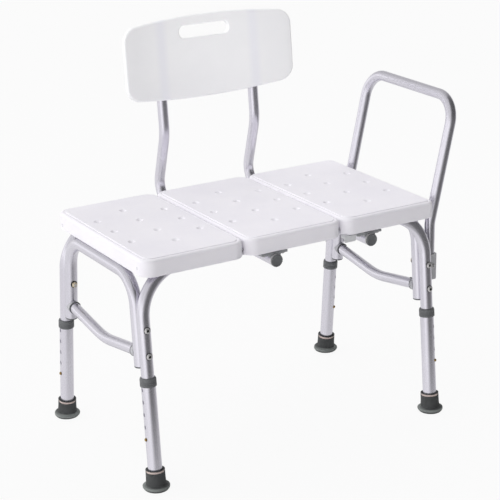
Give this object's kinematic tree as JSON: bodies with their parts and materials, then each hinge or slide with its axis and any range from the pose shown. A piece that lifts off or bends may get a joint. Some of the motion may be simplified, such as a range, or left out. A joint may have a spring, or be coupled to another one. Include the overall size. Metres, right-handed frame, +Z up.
{
  "type": "bath transfer bench",
  "caption": "Bath transfer bench: slatted plastic seat on a splayed tube frame with height-adjustable legs, rubber feet, a plug-in curved backrest and an arm rail at one end.",
  "frame": {"origin": "on the floor, under the middle of the whole footprint (bounding box bottom centre)", "axes": "+Z up; +X towards the end with the arm rail; +Y towards the backrest, so the open front of the seat is at -Y"},
  "size_m": [0.7894, 0.5198, 0.8163],
  "materials": {
    "seat_plastic": "moulded off-white polyethylene, fine satin texture",
    "backrest_plastic": "moulded off-white polyethylene, satin",
    "tube": "satin anodised",
    "strap_metal": "satin",
    "dark_plastic": "matte moulded",
    "rubber": "matte moulded rubber",
    "steel": "bright zinc plated",
    "brass": "yellow-passivated, slightly dull"
  },
  "bodies": {
    "frame": {"seat_panel_left": "seat_plastic", "seat_panel_middle": "seat_plastic", "seat_panel_right": "seat_plastic", "front_frame_tube": "tube", "rear_frame_tube": "tube", "left_end_frame_tube": "tube", "right_end_frame_tube": "tube", "left_end_brace": "tube", "right_end_brace": "tube", "front_left_end_frame_plug": "dark_plastic", "front_left_brace_saddle": "dark_plastic", "front_left_upper_bolt": "steel", "front_left_lower_bolt": "steel", "front_left_upper_nut": "steel", "rear_left_end_frame_plug": "dark_plastic", "rear_left_brace_saddle": "dark_plastic", "rear_left_upper_bolt": "steel", "rear_left_lower_bolt": "steel", "rear_left_upper_nut": "steel", "front_right_end_frame_plug": "dark_plastic", "front_right_brace_saddle": "dark_plastic", "front_right_upper_bolt": "steel", "front_right_lower_bolt": "steel", "front_right_upper_nut": "steel", "rear_right_end_frame_plug": "dark_plastic", "rear_right_brace_saddle": "dark_plastic", "rear_right_upper_bolt": "steel", "rear_right_lower_bolt": "steel", "rear_right_upper_nut": "steel", "left_backrest_receiver": "tube", "left_receiver_plug": "dark_plastic", "left_receiver_strap": "strap_metal", "right_backrest_receiver": "tube", "right_receiver_plug": "dark_plastic", "right_receiver_strap": "strap_metal", "rear_receiver_strap": "strap_metal", "arm_rail": "tube", "front_rail_bracket": "strap_metal", "front_rail_bolt": "steel", "rear_rail_bracket": "strap_metal", "rear_rail_bolt": "steel"},
    "leg_front_left": {"front_left_leg_extension": "tube", "front_left_leg_collar": "dark_plastic", "front_left_rubber_foot": "rubber"},
    "button_front_left": {"front_left_snap_button": "brass"},
    "leg_rear_left": {"rear_left_leg_extension": "tube", "rear_left_leg_collar": "dark_plastic", "rear_left_rubber_foot": "rubber"},
    "button_rear_left": {"rear_left_snap_button": "brass"},
    "leg_front_right": {"front_right_leg_extension": "tube", "front_right_leg_collar": "dark_plastic", "front_right_rubber_foot": "rubber"},
    "button_front_right": {"front_right_snap_button": "brass"},
    "leg_rear_right": {"rear_right_leg_extension": "tube", "rear_right_leg_collar": "dark_plastic", "rear_right_rubber_foot": "rubber"},
    "button_rear_right": {"rear_right_snap_button": "brass"},
    "backrest": {"backrest_panel": "backrest_plastic", "backrest_support_left": "tube", "backrest_support_right": "tube"}
  },
  "joints": [
    {"name": "leg_slide_front_left", "type": "slide", "parent": "frame", "child": "leg_front_left", "axis": [0, -0.0894, -0.996], "range_m": [0, 0.1016], "deforming": ["front_left_snap_button"]},
    {"name": "button_press_front_left", "type": "slide", "parent": "frame", "child": "button_front_left", "axis": [1, 0, 0], "range_m": [0, 0.0045], "stiffness_N_per_m": 400},
    {"name": "leg_slide_rear_left", "type": "slide", "parent": "frame", "child": "leg_rear_left", "axis": [0, 0.0894, -0.996], "range_m": [0, 0.1016], "deforming": ["rear_left_snap_button"]},
    {"name": "button_press_rear_left", "type": "slide", "parent": "frame", "child": "button_rear_left", "axis": [1, 0, 0], "range_m": [0, 0.0045], "stiffness_N_per_m": 400},
    {"name": "leg_slide_front_right", "type": "slide", "parent": "frame", "child": "leg_front_right", "axis": [0, -0.0894, -0.996], "range_m": [0, 0.0762], "deforming": ["front_right_snap_button"]},
    {"name": "button_press_front_right", "type": "slide", "parent": "frame", "child": "button_front_right", "axis": [-0.6443, 0.7617, -0.0684], "range_m": [0, 0.0045], "stiffness_N_per_m": 400},
    {"name": "leg_slide_rear_right", "type": "slide", "parent": "frame", "child": "leg_rear_right", "axis": [0, 0.0894, -0.996], "range_m": [0, 0.0762], "deforming": ["rear_right_snap_button"]},
    {"name": "button_press_rear_right", "type": "slide", "parent": "frame", "child": "button_rear_right", "axis": [-0.6443, 0.7617, 0.0684], "range_m": [0, 0.0045], "stiffness_N_per_m": 400},
    {"name": "backrest_slide", "type": "slide", "parent": "frame", "child": "backrest", "axis": [0, 1, 0], "range_m": [0, 0.145]}
  ]
}
